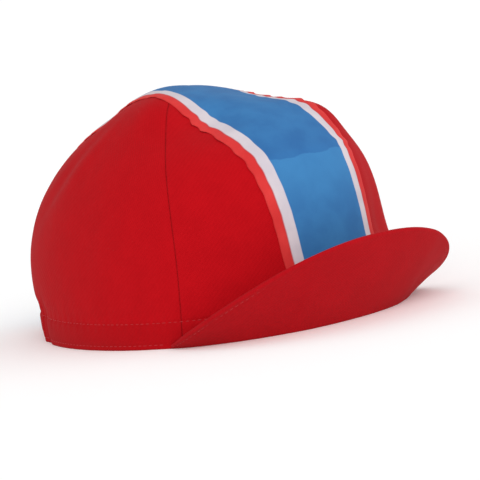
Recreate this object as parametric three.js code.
// A soft cotton cycling cap: four crown panels sewn together, a flat ribbon over the crown from
// front to rear, a turned-in hem inside the rim, and a short stiffened peak turned up at the front.
// Millimetres, +Z up. The cap stands on its rim on z = 0, its front faces -Y and the wearer's
// right side is -X. The origin is the middle of the whole cap's box, on the surface below it.
import * as THREE from 'three';

// The rim's plan: half lengths from the crown's axis, and how square its two rounds are (2 = ellipse).
const rimFront = 88;
const rimRear = 102;
const rimHalfWidth = 85;
const rimFrontSquareness = 2.16;
const rimRearSquareness = 2.04;

// The crown over it.
const crownHeight = 113.5;
const crownSquareness = 2.46;
const crownRiseToRear = 0.065; // share of the height gained at the rear of the rim
const crownLean = -0.024; // how far the axis moves to the rear for each mm of height
const clothWall = 1.2;
const seamGap = 0.3;
const crownTipRadius = 1.5; // the panels' points end this far from the top of the crown

// The side seams, as degrees of azimuth from the front, and how far they bow to the front.
const seamAtRim = 56.6;
const seamAtTop = 80.7;
const seamBow = 8.2;

// The rim's elastic gathers the rear of the cap up to this height, from here to the ribbon.
const gatherDepth = 1.1;
const gatherHeight = 30;
const gatherFrom = 116; // degrees of azimuth from the front
const gatherCount = 4; // on each side

const hemHeight = 12.8;
const hemWall = 1;
const hemGap = 0.4;

const ribbonWidth = 62.6;
const ribbonWall = 1;
const ribbonGap = 0.5;
const ribbonDriftAtRim = 4.5; // the front end is sewn this far to the wearer's left
const ribbonDriftAtTop = -2;

const peakDepth = 48;
const peakTipDepth = 3;
const peakWall = 2.4;
const peakGap = 0.4;
const peakSpread = 60.5; // degrees of azimuth to each side
const peakRoundness = 2.3;
const peakFlare = 30; // degrees from upright at the middle
const peakFlareAtEnds = 54;
const peakFanning = 0.82; // share of the rim's own turn that the peak's ribs follow

// Grid steps of the pieces' faces.
const crownRows = 20;
const frontColumns = 14;
const sideColumns = 8; // of a rear panel before its gathers
const gatherColumns = 4; // for each gather
const underRibbonColumns = 3;
const ribbonColumns = 7;
const ribbonRows = 46;
const peakColumns = 36;
const peakRows = 5;
const hemRows = 2;

// How far the crown stands outside its plain form, as shares of the rim's size, by height.
const swell = [
  { height: 0, front: 0, side: 0, rear: 0 },
  { height: 0.1, front: -0.012, side: -0.002, rear: 0.004 },
  { height: 0.2, front: -0.022, side: -0.005, rear: 0.045 },
  { height: 0.35, front: -0.027, side: -0.014, rear: 0.076 },
  { height: 0.55, front: 0.002, side: -0.003, rear: 0.054 },
  { height: 0.75, front: 0.031, side: 0.009, rear: -0.016 },
  { height: 0.9, front: 0.014, side: 0.003, rear: -0.032 },
  { height: 1, front: -0.01, side: -0.01, rear: -0.02 },
];

// Soft hollows and puffs in the cloth: middle, turn of the long way from upright in degrees,
// and length, width and depth as shares of the crown's height (a puff's depth is negative).
const folds = [
  { azimuth: -118, height: 0.68, turn: 35, length: 0.17, width: 0.05, depth: 0.011 },
  { azimuth: -105, height: 0.76, turn: 30, length: 0.15, width: 0.06, depth: -0.008 },
  { azimuth: 68, height: 0.8, turn: -40, length: 0.12, width: 0.08, depth: 0.018 },
  { azimuth: 40, height: 0.5, turn: 10, length: 0.25, width: 0.12, depth: 0.008 },
  { azimuth: -30, height: 0.45, turn: -15, length: 0.3, width: 0.12, depth: 0.007 },
  { azimuth: -85, height: 0.35, turn: 20, length: 0.25, width: 0.15, depth: -0.009 },
  { azimuth: 110, height: 0.4, turn: -25, length: 0.28, width: 0.12, depth: 0.012 },
  { azimuth: 155, height: 0.7, turn: 30, length: 0.22, width: 0.1, depth: 0.009 },
];

const swellFalloff = 1.3; // how fast the front and rear swells fade round the crown
const gatherFade = 1.5; // the gathers are full below 1 - 1 / gatherFade of their height
const ribbonStepRun = 10; // the peak's root takes this far to step out over the ribbon's end

const rad = THREE.MathUtils.degToRad;
const turnStep = rad(0.4); // for slopes
const turnError = 1e-5;
const gatherTo = 180 - THREE.MathUtils.radToDeg(Math.asin(ribbonWidth / 2 / rimHalfWidth));
const quarter = Math.PI / 2;
const signedPower = (value, power) => Math.sign(value) * Math.abs(value) ** power;
const smooth = (value) => THREE.MathUtils.smoothstep(value, 0, 1);
const turnBetween = (from, to) => Math.atan2(Math.sin(to - from), Math.cos(to - from));

// A smooth value between a table's rows: column is the value's name, at a share of the height.
function fromTable(rows, column, height) {
  const last = rows.length - 1;
  const slope = (i) => {
    const before = rows[Math.max(i - 1, 0)];
    const after = rows[Math.min(i + 1, last)];
    return (after[column] - before[column]) / (after.height - before.height);
  };
  const next = Math.max(1, rows.findIndex((row) => row.height >= height));
  const low = rows[next - 1];
  const high = rows[next];
  const span = high.height - low.height;
  const u = (height - low.height) / span;
  return (1 + 2 * u) * (1 - u) ** 2 * low[column] + u * (1 - u) ** 2 * span * slope(next - 1)
    + u * u * (3 - 2 * u) * high[column] + u * u * (u - 1) * span * slope(next);
}

// The crown's plain form. Azimuth 0 is the front and grows to the wearer's left; climb is 0 at
// the rim and a quarter turn at the top.
function plainCrown(azimuth, climb) {
  const toFront = Math.cos(azimuth);
  const squareness = toFront > 0 ? rimFrontSquareness : rimRearSquareness;
  const frontShare = Math.max(toFront, 0) ** swellFalloff;
  const rearShare = Math.max(-toFront, 0) ** swellFalloff;
  const height = Math.min(1, Math.sin(climb) ** (2 / crownSquareness));
  const reach = Math.max(Math.cos(climb), 0) ** (2 / crownSquareness) * (1
    + frontShare * fromTable(swell, 'front', height)
    + rearShare * fromTable(swell, 'rear', height)
    + (1 - frontShare - rearShare) * fromTable(swell, 'side', height));
  const halfLength = toFront > 0 ? rimFront : rimRear;
  const x = reach * rimHalfWidth * signedPower(Math.sin(azimuth), 2 / squareness);
  const y = -reach * halfLength * signedPower(toFront, 2 / squareness);
  const z = crownHeight * height * (1 + crownRiseToRear * y / rimRear);
  return new THREE.Vector3(x, y + crownLean * z, z);
}

// How far the cloth stands out of (or, when negative, in from) the plain form.
function relief(azimuth, z) {
  let out = 0;
  for (const fold of folds) {
    const across = turnBetween(rad(fold.azimuth), azimuth) * rimHalfWidth / crownHeight;
    const up = z / crownHeight - fold.height;
    const along = across * Math.sin(rad(fold.turn)) + up * Math.cos(rad(fold.turn));
    const aside = across * Math.cos(rad(fold.turn)) - up * Math.sin(rad(fold.turn));
    const fade = Math.exp(-((along / fold.length) ** 2) - (aside / fold.width) ** 2);
    out -= fold.depth * crownHeight * fade;
  }
  const fromFront = Math.abs(turnBetween(0, azimuth));
  const stretch = (fromFront - rad(gatherFrom)) / rad(gatherTo - gatherFrom);
  if (stretch > 0 && stretch < 1) {
    const wave = Math.cos(2 * Math.PI * gatherCount * stretch) - 1;
    out += gatherDepth / 2 * wave * smooth(gatherFade * (1 - z / gatherHeight));
  }
  return out;
}

// A point of the crown at a depth under its outer face (negative is outside).
function crownPoint(azimuth, climb, depth) {
  const low = Math.max(climb - turnStep, 0);
  const high = Math.min(climb + turnStep, quarter);
  const around = plainCrown(azimuth + turnStep, climb).sub(plainCrown(azimuth - turnStep, climb));
  const upward = plainCrown(azimuth, high).sub(plainCrown(azimuth, low));
  const normal = around.cross(upward);
  if (climb < turnStep / 2) normal.z = 0; // the rim stays flat on the surface
  const point = plainCrown(azimuth, climb);
  return point.addScaledVector(normal.normalize(), relief(azimuth, point.z) - depth);
}

// The climb at a share of the way up the crown's side, measured along the cloth.
const sideLengths = [0];
const sideSteps = 200;
for (let i = 1; i <= sideSteps; i++) {
  const from = plainCrown(quarter, quarter * (i - 1) / sideSteps);
  const to = plainCrown(quarter, quarter * i / sideSteps);
  sideLengths.push(sideLengths[i - 1] + from.distanceTo(to));
}
function climbAt(share) {
  const length = share * sideLengths[sideSteps];
  const i = Math.max(1, sideLengths.findIndex((value) => value >= length));
  const part = (length - sideLengths[i - 1]) / (sideLengths[i] - sideLengths[i - 1]);
  return quarter * (i - 1 + part) / sideSteps;
}

// The climb at which the crown's side reaches a height.
function climbAtHeight(z) {
  return Math.asin((z / crownHeight) ** (crownSquareness / 2));
}

// A closed wall between an outer and an inner grid of points. Rows go up and columns to the
// wearer's left. A ring's last column joins its first.
function wall(outer, inner, ring = false) {
  const rows = outer.length;
  const columns = outer[0].length;
  const corners = [...outer.flat(), ...inner.flat()].flatMap((point) => point.toArray());
  const at = (row, column, side) => (side * rows + row) * columns + column % columns;
  const index = [];
  const quad = (a, b, c, d) => index.push(a, b, c, a, c, d);
  const cells = ring ? columns : columns - 1;
  for (let row = 0; row < rows - 1; row++) {
    for (let column = 0; column < cells; column++) {
      quad(at(row, column, 0), at(row, column + 1, 0), at(row + 1, column + 1, 0), at(row + 1, column, 0));
      quad(at(row, column, 1), at(row + 1, column, 1), at(row + 1, column + 1, 1), at(row, column + 1, 1));
    }
  }
  const edge = (rowA, columnA, rowB, columnB) => quad(
    at(rowB, columnB, 0), at(rowA, columnA, 0), at(rowA, columnA, 1), at(rowB, columnB, 1));
  for (let column = 0; column < cells; column++) {
    edge(0, column, 0, column + 1);
    edge(rows - 1, column + 1, rows - 1, column);
  }
  for (let row = 0; row < rows - 1 && !ring; row++) {
    edge(row, columns - 1, row + 1, columns - 1);
    edge(row + 1, 0, row, 0);
  }
  const geometry = new THREE.BufferGeometry();
  geometry.setAttribute('position', new THREE.Float32BufferAttribute(corners, 3));
  geometry.setIndex(index);
  geometry.computeVertexNormals();
  return geometry;
}

function piece(name, geometry, color, roughness) {
  const material = new THREE.MeshStandardMaterial({ color, roughness, metalness: 0 });
  const mesh = new THREE.Mesh(geometry, material);
  mesh.name = name;
  return mesh;
}

const redCotton = '#b9181f';
const printedBlue = '#3e7cb6';
const steps = (count) => Array.from({ length: count + 1 }, (_, i) => i / count);

// The azimuth of a side seam; it runs from the rim to the top, bowing to the front.
function seamAzimuth(climb) {
  const up = climb / quarter;
  return rad(seamAtRim + (seamAtTop - seamAtRim) * up - 4 * seamBow * up * (1 - up));
}

// Half the seam's gap as a turn of azimuth.
function halfGapTurn(azimuth, climb) {
  const before = plainCrown(azimuth - turnStep, climb);
  const after = plainCrown(azimuth + turnStep, climb);
  return seamGap * turnStep / before.distanceTo(after);
}

// One crown panel between two azimuths that change with the climb. The columns are shares of
// the way from the first to the second.
function panelWall(fromAzimuth, toAzimuth, columns) {
  const topClimb = quarter - (crownTipRadius / rimHalfWidth) ** (crownSquareness / 2);
  const climbs = steps(crownRows).map((share) => Math.min(climbAt(share), topClimb));
  const grid = (depth) => climbs.map((climb) => {
    const first = fromAzimuth(climb) + halfGapTurn(fromAzimuth(climb), climb);
    const second = toAzimuth(climb) - halfGapTurn(toAzimuth(climb), climb);
    return columns.map((share) => crownPoint(first + (second - first) * share, climb, depth));
  });
  return wall(grid(0), grid(clothWall));
}

const middleOfFront = () => 0;
const middleOfRear = () => Math.PI;
const rearStretches = [
  { from: seamAtRim, to: gatherFrom, columns: sideColumns },
  { from: gatherFrom, to: gatherTo, columns: gatherColumns * gatherCount },
  { from: gatherTo, to: 180, columns: underRibbonColumns },
];
const rearShares = [0, ...rearStretches.flatMap(({ from, to, columns }) => steps(columns).slice(1)
  .map((share) => (from + (to - from) * share - seamAtRim) / (180 - seamAtRim)))];
const rearSharesMirrored = rearShares.map((share) => 1 - share).reverse();

// The ribbon follows the crown: each of its long lines keeps one distance from a middle line.
function ribbonLine(offset) {
  const drift = (point, atRim) => atRim + (ribbonDriftAtTop - atRim) * point.z / crownHeight;
  const halves = [
    { side: 0, atRim: ribbonDriftAtRim, toLeft: 1 },
    { side: Math.PI, atRim: 0, toLeft: -1 },
  ];
  const samples = halves.map(({ side, atRim, toLeft }) => {
    const found = [];
    for (const share of steps(sideSteps)) {
      const climb = climbAt(share);
      const short = (turn) => {
        const point = plainCrown(side + toLeft * turn, climb);
        return point.x - drift(point, atRim) - offset;
      };
      let low = -quarter;
      let high = quarter;
      if (short(low) > 0 || short(high) < 0) break;
      while (high - low > turnError) {
        const mean = (low + high) / 2;
        if (short(mean) > 0) high = mean;
        else low = mean;
      }
      found.push({ azimuth: side + toLeft * (low + high) / 2, climb });
    }
    return found;
  });
  return [...samples[0], ...samples[1].reverse()];
}

// Points at even distances along such a line, at a depth under the crown's outer face.
function evenPoints(line, count, depth) {
  const points = line.map(({ azimuth, climb }) => crownPoint(azimuth, climb, depth));
  const lengths = [0];
  for (let i = 1; i < points.length; i++) {
    lengths.push(lengths[i - 1] + points[i].distanceTo(points[i - 1]));
  }
  return steps(count).map((share) => {
    const length = share * lengths[lengths.length - 1];
    const i = Math.max(1, lengths.findIndex((value) => value >= length));
    const part = (length - lengths[i - 1]) / (lengths[i] - lengths[i - 1]);
    return points[i - 1].clone().lerp(points[i], part);
  });
}

function ribbonWalls() {
  const lines = steps(ribbonColumns).map((share) => ribbonLine((share - 0.5) * ribbonWidth));
  const grid = (depth) => {
    const columns = lines.map((line) => evenPoints(line, ribbonRows, depth));
    return steps(ribbonRows).map((_, row) => columns.map((column) => column[row]));
  };
  return wall(grid(-ribbonGap - ribbonWall), grid(-ribbonGap));
}

// The peak is sewn to the rim outside the crown and the ribbon's end, and turned up.
function peakRib(side) {
  const azimuth = rad(peakSpread) * side;
  const before = plainCrown(azimuth - turnStep, 0);
  const along = plainCrown(azimuth + turnStep, 0).sub(before).normalize();
  const outward = new THREE.Vector3(along.y, -along.x, 0);
  const flare = rad(peakFlare + (peakFlareAtEnds - peakFlare) * side ** 2);
  const root = plainCrown(azimuth, 0);
  const pastRibbon = Math.abs(root.x - ribbonDriftAtRim) - ribbonWidth / 2;
  const overRibbon = (ribbonGap + ribbonWall) * smooth(1 - pastRibbon / ribbonStepRun);
  root.addScaledVector(outward, overRibbon + peakGap + peakWall / 2 / Math.cos(flare));
  const heading = peakFanning * Math.atan2(outward.x, -outward.y);
  const rib = new THREE.Vector3(Math.sin(heading), -Math.cos(heading), 0);
  rib.multiplyScalar(Math.sin(flare)).setZ(Math.cos(flare));
  const depth = peakTipDepth + (peakDepth - peakTipDepth) * (1 - Math.abs(side) ** peakRoundness);
  return { root, rib, along, depth };
}

function peakGrid(offset) {
  return steps(peakRows).map((up) => steps(peakColumns).map((share) => {
    const { root, rib, along, depth } = peakRib(2 * share - 1);
    const normal = along.clone().cross(rib).normalize();
    const toSurface = -offset * normal.z / rib.z; // the root is cut level with the rim
    const length = up * depth + (1 - up) * toSurface;
    return root.clone().addScaledVector(normal, offset).addScaledVector(rib, length);
  }));
}

// The hem is the crown's own cloth turned in and stitched, a band against the inside of the rim.
function hemWalls() {
  const turns = [];
  const seam = seamAzimuth(0);
  for (const share of steps(frontColumns).slice(0, -1)) turns.push(share * seam);
  for (const share of rearShares.slice(0, -1)) turns.push(seam + share * (Math.PI - seam));
  const around = [...turns.slice(1).map((turn) => -turn).reverse(), ...turns, Math.PI];
  const grid = (depth) => steps(hemRows).map((share) => around.map(
    (azimuth) => crownPoint(azimuth, climbAtHeight(share * hemHeight), depth)));
  const outside = clothWall + hemGap;
  return wall(grid(outside), grid(outside + hemWall), true);
}

const rightSeam = (climb) => -seamAzimuth(climb);
const backwards = () => -Math.PI;
const cap = new THREE.Group();
cap.add(
  piece('front_right_panel', panelWall(rightSeam, middleOfFront, steps(frontColumns)), redCotton, 0.85),
  piece('front_left_panel', panelWall(middleOfFront, seamAzimuth, steps(frontColumns)), redCotton, 0.85),
  piece('rear_right_panel', panelWall(backwards, rightSeam, rearSharesMirrored), redCotton, 0.85),
  piece('rear_left_panel', panelWall(seamAzimuth, middleOfRear, rearShares), redCotton, 0.85),
  piece('ribbon', ribbonWalls(), printedBlue, 0.7),
  piece('peak', wall(peakGrid(peakWall / 2), peakGrid(-peakWall / 2)), redCotton, 0.85),
  piece('hem', hemWalls(), redCotton, 0.9),
);

// The origin goes to the middle of the cap's box, on the surface.
const middle = new THREE.Box3().setFromObject(cap).getCenter(new THREE.Vector3());
cap.position.set(-middle.x, -middle.y, 0);

export default cap;
